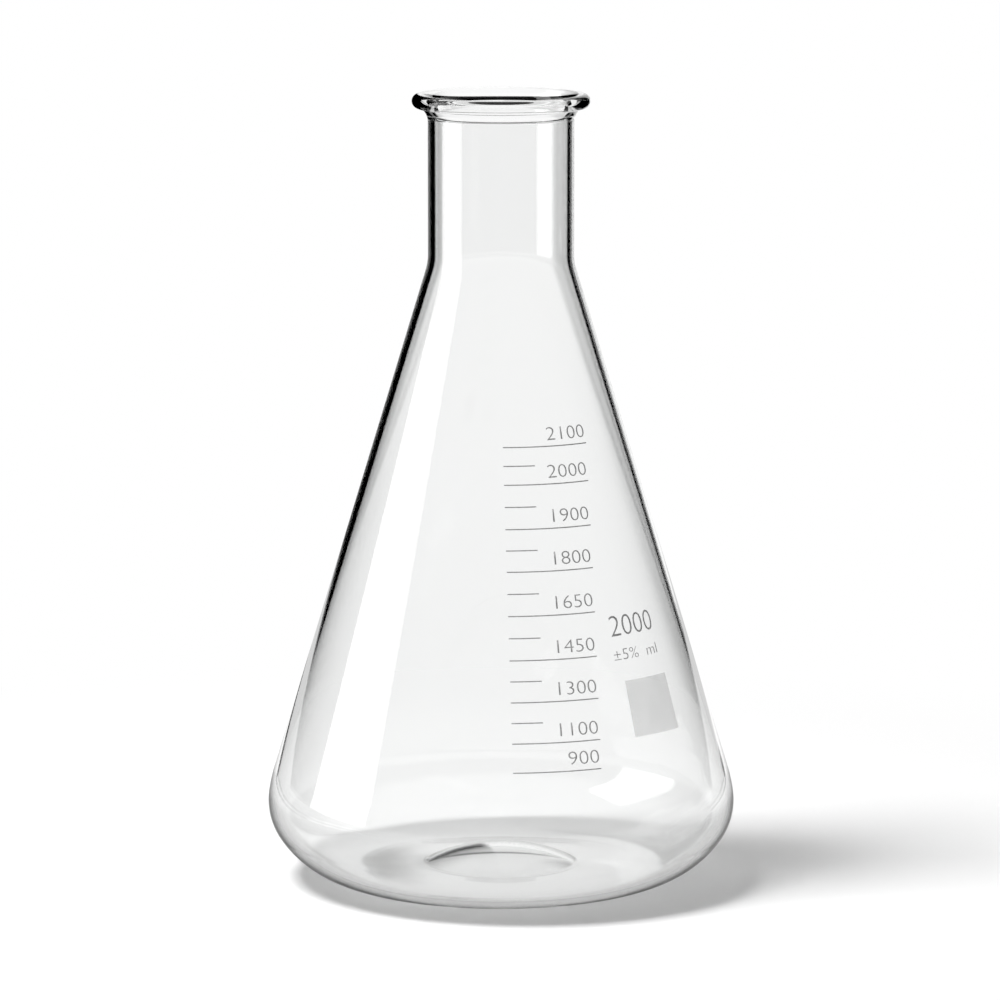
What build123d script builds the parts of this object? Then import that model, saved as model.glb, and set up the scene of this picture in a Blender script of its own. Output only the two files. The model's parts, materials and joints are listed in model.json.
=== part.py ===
from build123d import *
import math
import os

# A 2000 ml narrow-neck conical flask, blown in a mould as one piece of borosilicate glass.
# It is a body of revolution: one closed half section of the wall, turned about Z.
# The origin is the centre of the base, on the plane that the flask stands on, with +Z up.
# Lengths are in millimetres and angles in degrees.

# Overall sizes
overall_height = 280.0
body_diameter = 166.0  # at the widest place, above the heel
neck_diameter = 51.4
neck_length = 46.5  # straight stretch between the shoulder and the flare
rim_diameter = 62.7

# Glass thickness
base_wall = 2.4
body_wall = 2.0
neck_wall = 2.4

# Heel: three arcs that blend from the foot ring into the cone
underside_radius = 36.0
underside_turn = 56.0
side_radius = 21.8
side_turn = 42.0
haunch_radius = 52.0

# Shoulder, where the cone sweeps up into the neck
shoulder_radius = 20.0

# Base: a flat foot ring, a gently dished floor and a pushed-up crown in its middle
foot_width = 3.0
floor_slope = 2.0
crown_foot_radius = 28.0
crown_height = 8.0  # from the bench to the top of the crown's hollow
knuckle_radius = 6.0

# Rim: the wall flares out and ends in a fire-polished bead
bead_radius = 2.5
flare_radius = 6.0
flare_turn = 50.0
crook_radius = 1.0

# Places that follow from the sizes above
body_radius = body_diameter / 2
neck_radius = neck_diameter / 2
bore_radius = neck_radius - neck_wall
haunch_start = underside_turn + side_turn
bead_centre = Vector(rim_diameter / 2 - bead_radius, overall_height - bead_radius)
lip_radius = bead_centre.X - bore_radius
bore_top = overall_height - lip_radius


def heading(angle):
    """Direction of travel along the section, from outwards (+X) turned towards up."""
    return Vector(math.cos(math.radians(angle)), math.sin(math.radians(angle)))


def right_of(angle):
    """Direction to the right of that heading, which is the outside of a left-hand bend."""
    return heading(angle - 90)


foot_radius = body_radius - side_radius - (underside_radius - side_radius) * right_of(underside_turn).X

crook_centre_x = neck_radius + flare_radius - (flare_radius - crook_radius) * heading(flare_turn).X
bead_to_crook = bead_radius + crook_radius
crook_drop = math.sqrt(bead_to_crook**2 - (bead_centre.X - crook_centre_x) ** 2)
crook_rise = (flare_radius - crook_radius) * heading(flare_turn).Y
flare_foot = bead_centre.Y - crook_drop - crook_rise
neck_foot = flare_foot - neck_length


def floor_line(foot_height, knuckle):
    """From the axis out to the foot ring: crown, knuckle and dished floor, on one face of the glass."""
    ring_edge = Vector(foot_radius - foot_width, foot_height)
    slope = math.radians(floor_slope)
    floor_rise = (ring_edge.X - crown_foot_radius) * math.tan(slope)
    knuckle_centre = Vector(crown_foot_radius, foot_height + floor_rise) + right_of(180 - floor_slope) * knuckle
    crown_top = foot_height + crown_height
    above_top = knuckle_centre.Y - crown_top
    crown = (knuckle_centre.X**2 + above_top**2 - knuckle**2) / (2 * (knuckle - above_top))
    crown_turn = math.degrees(math.asin(knuckle_centre.X / (knuckle + crown)))

    crown_arc = JernArc((0, crown_top), heading(0), crown, -crown_turn)
    knuckle_arc = JernArc(crown_arc @ 1, crown_arc % 1, knuckle, crown_turn - floor_slope)
    dished_floor = Line(knuckle_arc @ 1, ring_edge)
    foot_ring = Line(ring_edge, (foot_radius, foot_height))
    return [crown_arc, knuckle_arc, dished_floor, foot_ring]


def wall_line(foot_height, inset, neck_r, shoulder_r, neck_top):
    """From the foot ring up to the end of the straight neck, on one face of the glass."""
    foot_centre = Vector(foot_radius, foot_height + underside_radius - inset)
    side_centre = foot_centre + right_of(underside_turn) * (underside_radius - side_radius)
    haunch_centre = side_centre + right_of(haunch_start) * (side_radius - haunch_radius)
    shoulder_centre = Vector(neck_r + shoulder_r, neck_foot)

    # The cone is the crossing tangent of the haunch's circle and the shoulder's
    reach = shoulder_centre - haunch_centre
    steepness = math.degrees(math.atan2(reach.Y, reach.X))
    cone_angle = steepness - math.degrees(math.acos((haunch_radius - inset + shoulder_r) / reach.length))

    underside = JernArc((foot_radius, foot_height), heading(0), underside_radius - inset, underside_turn)
    side = JernArc(underside @ 1, underside % 1, side_radius - inset, side_turn)
    haunch_turn = 90 + cone_angle - haunch_start
    haunch = JernArc(side @ 1, side % 1, haunch_radius - inset, haunch_turn)
    shoulder_foot = shoulder_centre - heading(cone_angle) * shoulder_r
    cone = Line(haunch @ 1, shoulder_foot)
    shoulder = JernArc(cone @ 1, cone % 1, shoulder_r, -cone_angle)
    neck = Line(shoulder @ 1, (neck_r, neck_top))
    return [underside, side, haunch, cone, shoulder, neck]


def rim_line():
    """From the outside of the neck, out round the bead and over the lip to the bore."""
    flare = JernArc((neck_radius, flare_foot), heading(90), flare_radius, -flare_turn)
    crook_end = math.degrees(math.atan2(crook_drop, bead_centre.X - crook_centre_x))
    crook_turn = 180 - flare_turn - crook_end
    crook = JernArc(flare @ 1, flare % 1, crook_radius, -crook_turn)
    bead = JernArc(crook @ 1, crook % 1, bead_radius, 90 + flare_turn + crook_turn)
    lip = JernArc(bead @ 1, bead % 1, lip_radius, 90)
    return [flare, crook, bead, lip]


def blown_flask():
    """The whole flask: outside, rim and inside closed along the axis and turned once round."""
    outside = floor_line(0, knuckle_radius) + wall_line(0, 0, neck_radius, shoulder_radius, flare_foot)
    inside = floor_line(base_wall, knuckle_radius - base_wall) + wall_line(
        base_wall, body_wall, bore_radius, shoulder_radius + neck_wall, bore_top
    )
    on_axis = Line(inside[0] @ 0, outside[0] @ 0)
    section = make_face(outside + rim_line() + inside + [on_axis])
    return revolve(Plane.XZ * section, Axis.Z)


flask = blown_flask()
flask.label = "flask"

os.makedirs("parts", exist_ok=True)
export_step(flask, "parts/flask.step")
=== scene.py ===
import json
import math

import bpy
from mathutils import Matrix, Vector


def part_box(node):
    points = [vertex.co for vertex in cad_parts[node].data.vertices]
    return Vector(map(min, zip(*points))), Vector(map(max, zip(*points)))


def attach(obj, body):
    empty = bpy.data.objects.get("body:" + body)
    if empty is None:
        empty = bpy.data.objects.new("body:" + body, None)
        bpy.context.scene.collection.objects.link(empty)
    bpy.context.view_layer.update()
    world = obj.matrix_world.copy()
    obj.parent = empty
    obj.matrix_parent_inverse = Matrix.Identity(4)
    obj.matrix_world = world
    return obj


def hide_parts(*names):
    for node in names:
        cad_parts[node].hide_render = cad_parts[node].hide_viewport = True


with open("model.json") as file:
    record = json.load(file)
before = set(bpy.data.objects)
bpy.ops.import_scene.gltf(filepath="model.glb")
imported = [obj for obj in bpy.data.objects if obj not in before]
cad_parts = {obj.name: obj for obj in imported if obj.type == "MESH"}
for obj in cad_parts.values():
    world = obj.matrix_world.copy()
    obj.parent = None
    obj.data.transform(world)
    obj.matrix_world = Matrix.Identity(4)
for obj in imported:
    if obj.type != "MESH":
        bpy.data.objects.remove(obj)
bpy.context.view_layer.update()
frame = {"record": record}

MM = 0.001

# The flask
# One piece of clear borosilicate glass, blown in a mould: a dished base with a pushed-up crown, a conical
# body, a short neck and a fire-polished bead round the mouth. Its half section is drawn with runs and bends
# from the axis out, up the outside, over the rim and back down the inside, and then turned once round.
mounts = {mount["name"]: mount for mount in frame["record"]["mounts"]}
overall_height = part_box("flask")[1].z
body_radius = 83.0 * MM
rim_radius = 31.35 * MM
bore_radius = mounts["neck_bore"]["dims"]["r_mm"] * MM
base_wall = 2.4 * MM
body_wall = 2.0 * MM
neck_wall = 2.4 * MM
neck_radius = bore_radius + neck_wall
neck_length = 46.5 * MM

underside_radius = 36.0 * MM
underside_turn = math.radians(56)
side_radius = 21.8 * MM
side_turn = math.radians(42)
heel_turn = underside_turn + side_turn
haunch_radius = 52.0 * MM
shoulder_radius = 20.0 * MM

foot_width = 3.0 * MM
floor_slope = math.radians(2)
crown_foot_radius = 28.0 * MM
crown_height = 8.0 * MM
knuckle_radius = 6.0 * MM

bead_radius = 2.5 * MM
flare_radius = 6.0 * MM
flare_turn = math.radians(50)
crook_radius = 1.0 * MM

turning_steps = 256
weld_distance = 0.005 * MM
QUARTER = math.radians(90)


def heading(angle):
    """Direction of travel along the section, from outwards turned towards up."""
    return Vector((math.cos(angle), 0, math.sin(angle)))


def right_of(angle):
    """Direction to the right of that heading, which is the outside of a left-hand bend."""
    return heading(angle - QUARTER)


pen = {"at": Vector((0, 0, 0)), "angle": 0.0}


def start_section(height):
    """Puts one vertex on the axis, ready to be drawn outwards."""
    pen["at"], pen["angle"] = Vector((0, 0, height)), 0.0
    bpy.ops.mesh.primitive_circle_add(vertices=3, radius=1 * MM, location=pen["at"])
    bpy.ops.object.mode_set(mode="EDIT")
    bpy.ops.mesh.merge(type="CENTER")


def run(length, pieces):
    """Draws a straight stretch along the heading, in this many edges."""
    step = heading(pen["angle"]) * (length / pieces)
    for _ in range(pieces):
        bpy.ops.mesh.extrude_region_move(TRANSFORM_OT_translate={"value": step})
    pen["at"] += step * pieces


def bend(radius, turn, pieces):
    """Draws an arc tangent to the heading, in this many edges: a positive turn goes to the left."""
    side = math.copysign(radius, turn)
    centre = pen["at"] - right_of(pen["angle"]) * side
    bpy.ops.mesh.spin(steps=pieces, angle=turn, center=centre, axis=(0, 1, 0))
    pen["angle"] += turn
    pen["at"] = centre + right_of(pen["angle"]) * side


foot_radius = body_radius - side_radius + (side_radius - underside_radius) * right_of(underside_turn).x
bead_centre = Vector((rim_radius - bead_radius, 0, overall_height - bead_radius))
lip_radius = bead_centre.x - bore_radius
bore_top = overall_height - lip_radius
crook_centre_x = neck_radius + flare_radius - (flare_radius - crook_radius) * heading(flare_turn).x
bead_to_crook = bead_radius + crook_radius
crook_drop = math.sqrt(bead_to_crook**2 - (bead_centre.x - crook_centre_x) ** 2)
flare_foot = bead_centre.z - crook_drop - (flare_radius - crook_radius) * heading(flare_turn).z
neck_foot = flare_foot - neck_length


def floor_bends(knuckle):
    """Radius and turn of the crown, and the length of the dished floor, on one face of the glass."""
    floor_width = foot_radius - foot_width - crown_foot_radius
    knuckle_x = crown_foot_radius + knuckle * math.sin(floor_slope)
    above_top = floor_width * math.tan(floor_slope) + knuckle * math.cos(floor_slope) - crown_height
    crown = (knuckle_x**2 + above_top**2 - knuckle**2) / (2 * (knuckle - above_top))
    crown_turn = math.asin(knuckle_x / (knuckle + crown))
    return crown, crown_turn, floor_width / math.cos(floor_slope)


def wall_bends(foot_height, inset, neck, shoulder):
    """Angle and length of the cone, the crossing tangent of haunch and shoulder, on one face of the glass."""
    foot_centre = Vector((foot_radius, 0, foot_height + underside_radius - inset))
    side_centre = foot_centre + right_of(underside_turn) * (underside_radius - side_radius)
    haunch_centre = side_centre + right_of(heel_turn) * (side_radius - haunch_radius)
    shoulder_centre = Vector((neck + shoulder, 0, neck_foot))
    reach = shoulder_centre - haunch_centre
    between = haunch_radius - inset + shoulder
    cone_angle = math.atan2(reach.z, reach.x) - math.acos(between / reach.length)
    return cone_angle, math.sqrt(reach.length**2 - between**2)


bpy.ops.object.select_all(action="DESELECT")
outer_crown, outer_crown_turn, outer_floor = floor_bends(knuckle_radius)
inner_crown, inner_crown_turn, inner_floor = floor_bends(knuckle_radius - base_wall)
outer_cone_angle, outer_cone = wall_bends(0, 0, neck_radius, shoulder_radius)
inner_cone_angle, inner_cone = wall_bends(base_wall, body_wall, bore_radius, shoulder_radius + neck_wall)

start_section(crown_height)
bend(outer_crown, -outer_crown_turn, 24)
bend(knuckle_radius, outer_crown_turn - floor_slope, 10)
run(outer_floor, 4)
pen["angle"] = 0.0
run(foot_width, 2)
bend(underside_radius, underside_turn, 28)
bend(side_radius, side_turn, 21)
bend(haunch_radius, QUARTER + outer_cone_angle - heel_turn, 10)
run(outer_cone, 16)
cone_end = pen["at"].copy()
bend(shoulder_radius, -outer_cone_angle, 8)
run(flare_foot - neck_foot, 8)
bend(flare_radius, -flare_turn, 10)
crook_end = math.atan2(crook_drop, bead_centre.x - crook_centre_x)
crook_turn = math.pi - flare_turn - crook_end
bend(crook_radius, -crook_turn, 8)
bend(bead_radius, QUARTER + flare_turn + crook_turn, 40)
bend(lip_radius, QUARTER, 14)
run(bore_top - neck_foot, 8)
bend(shoulder_radius + neck_wall, inner_cone_angle, 8)
run(inner_cone, 16)
bend(haunch_radius - body_wall, -(QUARTER + inner_cone_angle - heel_turn), 10)
bend(side_radius - body_wall, -side_turn, 21)
bend(underside_radius - body_wall, -underside_turn, 28)
run(foot_width, 2)
pen["angle"] -= floor_slope
run(inner_floor, 4)
bend(knuckle_radius - base_wall, -(inner_crown_turn - floor_slope), 10)
bend(inner_crown, inner_crown_turn, 24)

bpy.ops.mesh.select_all(action="SELECT")
bpy.ops.mesh.spin(steps=turning_steps, angle=math.tau, center=(0, 0, 0), axis=(0, 0, 1))
bpy.ops.mesh.select_all(action="SELECT")
bpy.ops.mesh.remove_doubles(threshold=weld_distance)
bpy.ops.mesh.normals_make_consistent(inside=False)
bpy.ops.object.mode_set(mode="OBJECT")
bpy.ops.object.shade_smooth()
blown_glass = bpy.context.object
bpy.ops.object.transform_apply(location=True, rotation=True, scale=True)
blown_glass.name = "blown_glass"

glass = bpy.data.materials.new("borosilicate_glass")
glass.use_nodes = True
shader = glass.node_tree.nodes["Principled BSDF"]
shader.inputs["Base Color"].default_value = (0.997, 1.0, 0.998, 1)
shader.inputs["Roughness"].default_value = 0.0
shader.inputs["IOR"].default_value = 1.473
shader.inputs["Transmission Weight"].default_value = 1.0
nodes, links = glass.node_tree.nodes, glass.node_tree.links
glass_place = nodes.new("ShaderNodeTexCoord")
draw_marks = nodes.new("ShaderNodeMapping")
draw_marks.inputs["Scale"].default_value = (1.0, 1.0, 0.35)
waviness = nodes.new("ShaderNodeTexNoise")
waviness.inputs["Scale"].default_value = 28
waviness.inputs["Detail"].default_value = 1.0
ripple = nodes.new("ShaderNodeBump")
ripple.inputs["Strength"].default_value = 0.25
ripple.inputs["Distance"].default_value = 0.15 * MM
links.new(glass_place.outputs["Object"], draw_marks.inputs["Vector"])
links.new(draw_marks.outputs["Vector"], waviness.inputs["Vector"])
links.new(waviness.outputs["Fac"], ripple.inputs["Height"])
links.new(ripple.outputs["Normal"], shader.inputs["Normal"])
blown_glass.data.materials.append(glass)
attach(blown_glass, "root")
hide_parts("flask")

# The print
# A scale in thin fired enamel on the front of the cone: nine long lines with a plain number over each, and
# a short line between each two but the lowest. It is printed flat and lies round the glass, so each mark is
# made flat and then laid on the cone.
print_thickness = 0.04 * MM
print_lift = 0.02 * MM
line_width = 0.40 * MM
strip_width = 0.8 * MM
digit_share = 0.72
stroke_thinning = 0.02

enamel = bpy.data.materials.new("fired_enamel")
enamel.use_nodes = True
nodes, links = enamel.node_tree.nodes, enamel.node_tree.links
shader = nodes["Principled BSDF"]
shader.inputs["Roughness"].default_value = 0.45
grain_place = nodes.new("ShaderNodeTexCoord")
grain = nodes.new("ShaderNodeTexNoise")
grain.inputs["Scale"].default_value = 900
grain.inputs["Detail"].default_value = 3
links.new(grain_place.outputs["Object"], grain.inputs["Vector"])
shade = nodes.new("ShaderNodeValToRGB")
shade.color_ramp.elements[0].position = 0.35
shade.color_ramp.elements[0].color = (0.30, 0.30, 0.30, 1)
shade.color_ramp.elements[1].position = 0.70
shade.color_ramp.elements[1].color = (0.46, 0.46, 0.46, 1)
links.new(grain.outputs["Fac"], shade.inputs["Fac"])
links.new(shade.outputs["Color"], shader.inputs["Base Color"])
relief = nodes.new("ShaderNodeBump")
relief.inputs["Strength"].default_value = 0.3
relief.inputs["Distance"].default_value = 0.02 * MM
links.new(grain.outputs["Fac"], relief.inputs["Height"])
links.new(relief.outputs["Normal"], shader.inputs["Normal"])


def cone_radius(height):
    """Outer radius of the glass at a height on the cone."""
    return cone_end.x + (cone_end.z - height) * math.tan(outer_cone_angle)


def lay_on_cone(mark, start, height, finish=enamel):
    """Cuts a flat mark into upright strips and lays it round the cone, from an arc length and a height."""
    bpy.ops.object.select_all(action="DESELECT")
    mark.select_set(True)
    bpy.context.view_layer.objects.active = mark
    bpy.ops.object.transform_apply(location=True, rotation=True, scale=True)
    width = max(v.co.x for v in mark.data.vertices)
    bpy.ops.object.mode_set(mode="EDIT")
    for cut in range(1, math.ceil(width / strip_width)):
        bpy.ops.mesh.select_all(action="SELECT")
        bpy.ops.mesh.bisect(plane_co=(cut * strip_width, 0, 0), plane_no=(1, 0, 0))
    bpy.ops.object.mode_set(mode="OBJECT")
    base = cone_radius(height)
    lift = print_lift + print_thickness
    for vertex in mark.data.vertices:
        azimuth = (start + vertex.co.x) / base
        z = height + vertex.co.y * math.cos(outer_cone_angle)
        r = cone_radius(z) + lift
        vertex.co = (r * math.sin(azimuth), -r * math.cos(azimuth), z)
    thick = mark.modifiers.new("thickness", "SOLIDIFY")
    thick.thickness = print_thickness
    thick.offset = -1
    bpy.ops.object.modifier_apply(modifier=thick.name)
    mark.data.materials.clear()
    mark.data.materials.append(finish)
    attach(mark, "root")


def printed_line(name, start, height, length):
    """A level line. The start is its left end."""
    bpy.ops.mesh.primitive_plane_add(size=1, location=(length / 2, 0, 0))
    line = bpy.context.object
    line.name = name
    line.scale = (length, line_width, 1)
    lay_on_cone(line, start, height)


def printed_text(name, words, start, height, size, widening, to_right=False):
    """Text with digits of this size. The start is its left end, or its right end with to_right."""
    bpy.ops.object.text_add()
    text = bpy.context.object
    text.data.body = words
    text.data.size = size / digit_share
    text.data.offset = -stroke_thinning * size
    text.data.resolution_u = 4
    bpy.ops.object.convert(target="MESH")
    text = bpy.context.object
    text.name = name
    left = min(v.co.x for v in text.data.vertices)
    right = max(v.co.x for v in text.data.vertices)
    text.scale = (widening, 1, 1)
    text.location.x = -left * widening
    left_end = start - (right - left) * widening if to_right else start
    lay_on_cone(text, left_end, height)


scale_heights = (161.3, 148.7, 133.9, 119.7, 105.0, 90.3, 76.4, 62.8, 53.2)
scale_volumes = (2100, 2000, 1900, 1800, 1650, 1450, 1300, 1100, 900)
long_line = 31.8 * MM
short_line = 11.0 * MM
top_start = 0.6 * MM
start_shift = 0.032
number_height = 4.9 * MM
number_rise = 2.0 * MM
number_inset = 0.6 * MM
number_widening = 1.2


def scale_start(height):
    """Left end of the line at a height: the scale leans a little to the right on its way down."""
    return top_start + (scale_heights[0] * MM - height) * start_shift


for height_mm, volume in zip(scale_heights, scale_volumes):
    height = height_mm * MM
    start = scale_start(height)
    printed_line(f"scale_line_{volume}", start, height, long_line)
    printed_text(f"scale_number_{volume}", str(volume), start + long_line - number_inset,
                 height + number_rise, number_height, number_widening, to_right=True)
for upper, lower in zip(scale_heights[:-2], scale_heights[1:]):
    height = (upper + lower) / 2 * MM
    printed_line(f"scale_tick_{round(height / MM)}", scale_start(height), height, short_line)

# The capacity mark
# To the right of the scale the same enamel gives the capacity, its tolerance and unit, over a patch of thin,
# mostly clear enamel that takes pencil.
capacity_start = 41.0 * MM
capacity_foot = 96.0 * MM
capacity_height = 7.7 * MM
capacity_widening = 1.06
unit_start = 42.2 * MM
unit_foot = 88.0 * MM
unit_height = 4.1 * MM
unit_widening = 1.22
patch_start = 50.3 * MM
patch_foot = 62.0 * MM
patch_width = 23.0 * MM
patch_height = 19.8 * MM
printed_text("capacity_number", "2000", capacity_start, capacity_foot, capacity_height, capacity_widening)
printed_text("unit_mark", "\u00b15%  ml", unit_start, unit_foot, unit_height, unit_widening)
patch_enamel = bpy.data.materials.new("writing_patch")
patch_enamel.use_nodes = True
shader = patch_enamel.node_tree.nodes["Principled BSDF"]
shader.inputs["Roughness"].default_value = 0.7
shader.inputs["Alpha"].default_value = 0.20
nodes, links = patch_enamel.node_tree.nodes, patch_enamel.node_tree.links
patch_place = nodes.new("ShaderNodeTexCoord")
stretch = nodes.new("ShaderNodeMapping")
stretch.inputs["Scale"].default_value = (1.0, 1.0, 0.08)
streaks = nodes.new("ShaderNodeTexNoise")
streaks.inputs["Scale"].default_value = 260
streaks.inputs["Detail"].default_value = 2.0
streak_shade = nodes.new("ShaderNodeValToRGB")
streak_shade.color_ramp.elements[0].position = 0.35
streak_shade.color_ramp.elements[0].color = (0.40, 0.40, 0.40, 1)
streak_shade.color_ramp.elements[1].position = 0.65
streak_shade.color_ramp.elements[1].color = (0.62, 0.62, 0.62, 1)
links.new(patch_place.outputs["Object"], stretch.inputs["Vector"])
links.new(stretch.outputs["Vector"], streaks.inputs["Vector"])
links.new(streaks.outputs["Fac"], streak_shade.inputs["Fac"])
links.new(streak_shade.outputs["Color"], shader.inputs["Base Color"])
bpy.ops.mesh.primitive_plane_add(size=1, location=(patch_width / 2, patch_height / 2, 0))
patch = bpy.context.object
patch.name = "writing_patch"
patch.scale = (patch_width, patch_height, 1)
lay_on_cone(patch, patch_start, patch_foot, patch_enamel)

# The floor
# A pale round table top that catches the shadow. Towards its edge it brightens into the backdrop, so that no
# edge shows. Seen through the glass it is partly mixed with white, painted light for the light that the glass
# lets through onto it, and in reflections it takes a darker colour, painted shade.
table_radius = 420 * MM
fade_start = 190 * MM
fade_end = 400 * MM
table_glow = 0.07
table_shade = 0.95
reflected_shade = 0.62
whiter_through_glass = 0.45
bpy.ops.object.select_all(action="DESELECT")
bpy.ops.mesh.primitive_circle_add(vertices=128, radius=table_radius, fill_type="NGON")
table = bpy.context.object
table.name = "table"
pale = bpy.data.materials.new("pale_table")
pale.use_nodes = True
nodes, links = pale.node_tree.nodes, pale.node_tree.links
nodes.clear()
lit = nodes.new("ShaderNodeBsdfDiffuse")
glow = nodes.new("ShaderNodeEmission")
glow.inputs["Strength"].default_value = table_glow
lit_and_glowing = nodes.new("ShaderNodeAddShader")
white = nodes.new("ShaderNodeEmission")
rays = nodes.new("ShaderNodeLightPath")
# Painted shade: rays that come off a reflection see the table in a darker colour than the camera does
shade_by_ray = nodes.new("ShaderNodeMapRange")
links.new(rays.outputs["Glossy Depth"], shade_by_ray.inputs["Value"])
shade_by_ray.inputs["To Min"].default_value = table_shade
shade_by_ray.inputs["To Max"].default_value = reflected_shade
links.new(shade_by_ray.outputs["Result"], lit.inputs["Color"])
# Painted light: rays through the glass see the table partly as white glow, standing in for light the glass
# lets through onto it
through = nodes.new("ShaderNodeMapRange")
links.new(rays.outputs["Is Transmission Ray"], through.inputs["Value"])
through.inputs["To Max"].default_value = whiter_through_glass
place = nodes.new("ShaderNodeTexCoord")
distance = nodes.new("ShaderNodeVectorMath")
distance.operation = "LENGTH"
links.new(place.outputs["Object"], distance.inputs[0])
fade = nodes.new("ShaderNodeMapRange")
fade.interpolation_type = "SMOOTHSTEP"
links.new(distance.outputs["Value"], fade.inputs["Value"])
fade.inputs["From Min"].default_value = fade_start
fade.inputs["From Max"].default_value = fade_end
whiter = nodes.new("ShaderNodeMath")
whiter.operation = "MAXIMUM"
links.new(through.outputs["Result"], whiter.inputs[0])
links.new(fade.outputs["Result"], whiter.inputs[1])
blend = nodes.new("ShaderNodeMixShader")
links.new(whiter.outputs[0], blend.inputs[0])
links.new(lit.outputs[0], lit_and_glowing.inputs[0])
links.new(glow.outputs[0], lit_and_glowing.inputs[1])
links.new(lit_and_glowing.outputs[0], blend.inputs[1])
links.new(white.outputs[0], blend.inputs[2])
out = nodes.new("ShaderNodeOutputMaterial")
links.new(blend.outputs[0], out.inputs["Surface"])
table.data.materials.append(pale)

# The low card
# A low ring of white card round the table, which only reflections in the glass show. Other rays pass through
# it, and it throws no shadow.
card_radius = 500 * MM
card_height = 50 * MM
card_level = 0.65
bpy.ops.mesh.primitive_cylinder_add(vertices=128, radius=card_radius, depth=card_height,
                                    end_fill_type="NOTHING", location=(0, 0, card_height / 2))
card = bpy.context.object
card.name = "low_card"
card_white = bpy.data.materials.new("card")
card_white.use_nodes = True
nodes, links = card_white.node_tree.nodes, card_white.node_tree.links
nodes.clear()
white = nodes.new("ShaderNodeEmission")
white.inputs["Strength"].default_value = card_level
clear = nodes.new("ShaderNodeBsdfTransparent")
rays = nodes.new("ShaderNodeLightPath")
reflected = nodes.new("ShaderNodeMath")
reflected.operation = "GREATER_THAN"
reflected.inputs[1].default_value = 0.5
links.new(rays.outputs["Glossy Depth"], reflected.inputs[0])
blend = nodes.new("ShaderNodeMixShader")
links.new(reflected.outputs[0], blend.inputs[0])
links.new(clear.outputs[0], blend.inputs[1])
links.new(white.outputs[0], blend.inputs[2])
out = nodes.new("ShaderNodeOutputMaterial")
links.new(blend.outputs[0], out.inputs["Surface"])
card.data.materials.append(card_white)
card.visible_shadow = False
card.visible_diffuse = False

# The light
# A tall soft lamp on the left, which only reflections in the glass show, and a square one above it that
# throws the shadow. The surround is white. Reflections see it dark, but for a panel behind and the ceiling,
# and so the glass gets its dark edges.
left_place = (-0.998, -0.06, 0.65)
left_aim = (0, 0, 0.65)
left_width = 0.67
left_height = 1.6
left_radiance = 3.5
key_place = (-0.75, -0.25, 1.8)
key_aim = (0, 0, 0.1)
key_width = 0.6
key_height = 0.6
key_radiance = 29.0


def area_lamp(name, place, aim, width, height, radiance):
    """A rectangular lamp that the camera doesn't see, turned to its aim."""
    lamp = bpy.data.lights.new(name, "AREA")
    lamp.shape = "RECTANGLE"
    lamp.size = width
    lamp.size_y = height
    lamp.energy = radiance * math.pi * width * height
    holder = bpy.data.objects.new(name, lamp)
    bpy.context.scene.collection.objects.link(holder)
    holder.location = place
    holder.rotation_euler = (Vector(aim) - Vector(place)).to_track_quat("-Z", "Y").to_euler()
    holder.visible_camera = False
    return holder


def shine_where(lamp, comparison):
    """Lets a lamp shine only on rays whose count of reflections passes the comparison with a half."""
    lamp.data.use_nodes = True
    nodes, links = lamp.data.node_tree.nodes, lamp.data.node_tree.links
    rays = nodes.new("ShaderNodeLightPath")
    passes = nodes.new("ShaderNodeMath")
    passes.operation = comparison
    passes.inputs[1].default_value = 0.5
    links.new(rays.outputs["Glossy Depth"], passes.inputs[0])
    links.new(passes.outputs[0], nodes["Emission"].inputs["Strength"])


left_lamp = area_lamp("left_softbox", left_place, left_aim, left_width, left_height, left_radiance)
left_lamp.visible_diffuse = False
shine_where(left_lamp, "GREATER_THAN")
key_lamp = area_lamp("key_softbox", key_place, key_aim, key_width, key_height, key_radiance)
key_lamp.visible_glossy = False
shine_where(key_lamp, "LESS_THAN")

world = bpy.data.worlds.new("studio")
bpy.context.scene.world = world
world.use_nodes = True
nodes, links = world.node_tree.nodes, world.node_tree.links
nodes.clear()


def node(kind, **values):
    """A new node of the world, with these settings."""
    made = nodes.new(kind)
    for name, value in values.items():
        setattr(made, name, value)
    return made


def calc(operation, first, second=None, third=None):
    """The result of a math node, whose inputs are numbers or the results of other nodes."""
    made = node("ShaderNodeMath", operation=operation)
    for socket, value in zip(made.inputs, (first, second, third)):
        if value is None:
            continue
        if isinstance(value, (int, float)):
            socket.default_value = value
        else:
            links.new(value, socket)
    return made.outputs[0]


direction = node("ShaderNodeTexCoord").outputs["Generated"]
split = node("ShaderNodeSeparateXYZ")
links.new(direction, split.inputs[0])
azimuth = calc("ARCTAN2", split.outputs["X"], split.outputs["Y"])
elevation = calc("ARCSINE", split.outputs["Z"])
rays = node("ShaderNodeLightPath")


def ramp(value, start, end):
    """0 below the start, 1 above the end, in degrees."""
    made = node("ShaderNodeMapRange", interpolation_type="SMOOTHSTEP")
    links.new(value, made.inputs["Value"])
    made.inputs["From Min"].default_value = math.radians(start)
    made.inputs["From Max"].default_value = math.radians(end)
    return made.outputs["Result"]


def without(value):
    """What is left of 1."""
    return calc("SUBTRACT", 1.0, value)


room_level = 0.32
ceiling_level = 0.8
strip_darkening = 0.24
strip_half_period = math.radians(22.5)
strip_shift = math.radians(2)
reflected = calc("GREATER_THAN", rays.outputs["Glossy Depth"], 0.5)
lighting = calc("GREATER_THAN", rays.outputs["Diffuse Depth"], 0.5)

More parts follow.
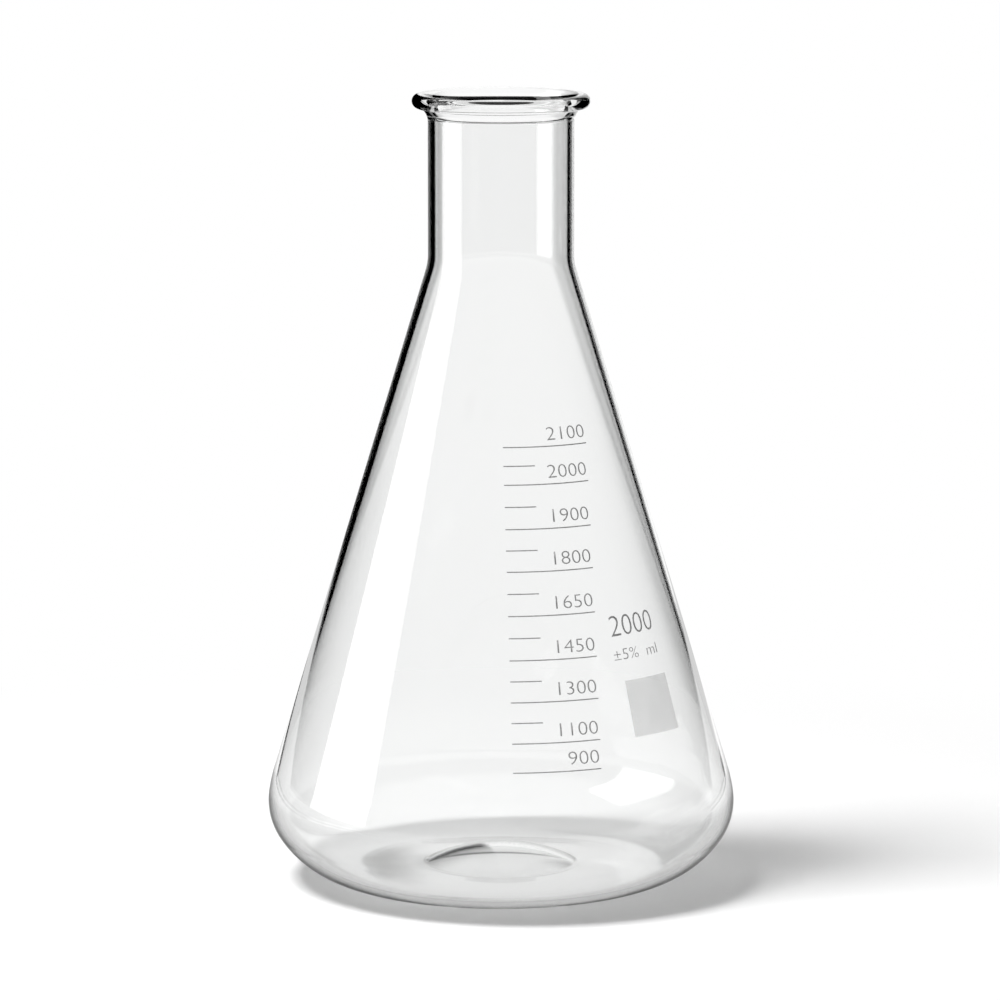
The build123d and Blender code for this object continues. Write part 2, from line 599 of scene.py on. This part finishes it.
# What lights the table, and what the camera sees straight through the glass: white with faint grey strips,
# dark overhead
room = calc("MULTIPLY", rays.outputs["Is Diffuse Ray"], room_level)
off_axis = calc("PINGPONG", calc("ADD", azimuth, strip_shift), strip_half_period)
grey_strip = calc("MULTIPLY", ramp(off_axis, 7, 11), without(ramp(off_axis, 16, 20)))
see_through = calc("MULTIPLY_ADD", grey_strip, -strip_darkening, 1.0)
overhead = calc("MULTIPLY", ramp(elevation, 15, 25), without(lighting))
see_through = calc("MULTIPLY", see_through, without(overhead))
straight = calc("MULTIPLY", rays.outputs["Is Transmission Ray"], without(reflected))
straight = calc("MULTIPLY", straight, see_through)

# What reflections see: the panel behind and the ceiling
back_panel = calc("MULTIPLY", ramp(azimuth, -4, -2), without(ramp(azimuth, 19, 21)))
ceiling = calc("MULTIPLY", ramp(elevation, 25, 45), ceiling_level)
around = calc("MAXIMUM", back_panel, ceiling)
around = calc("MULTIPLY", around, reflected)

level = calc("MAXIMUM", calc("MAXIMUM", room, straight), rays.outputs["Is Camera Ray"])
level = calc("MAXIMUM", level, around)
background = node("ShaderNodeBackground")
background.inputs["Color"].default_value = (1, 1, 1, 1)
links.new(level, background.inputs["Strength"])
output = node("ShaderNodeOutputWorld")
links.new(background.outputs[0], output.inputs["Surface"])

# The camera
# It looks from a little above the rim at the whole flask, from far off with a long lens.
camera_distance = 2.0103
camera_height = 0.4625
camera_shift = -0.39 * MM
camera_pitch = math.radians(-9.23)
lens = 207.0
sensor_width = 36
lens_data = bpy.data.cameras.new("camera")
lens_data.lens = lens
lens_data.sensor_width = sensor_width
camera = bpy.data.objects.new("camera", lens_data)
bpy.context.scene.collection.objects.link(camera)
camera.location = (camera_shift, -camera_distance, camera_height)
camera.rotation_euler = (QUARTER + camera_pitch, 0, 0)
bpy.context.scene.camera = camera
bpy.context.scene.view_settings.view_transform = "Standard"

# Rays cross many surfaces of glass, so more bounces are allowed than usual
bpy.context.scene.cycles.max_bounces = 24
bpy.context.scene.cycles.transmission_bounces = 24
bpy.context.scene.cycles.glossy_bounces = 16
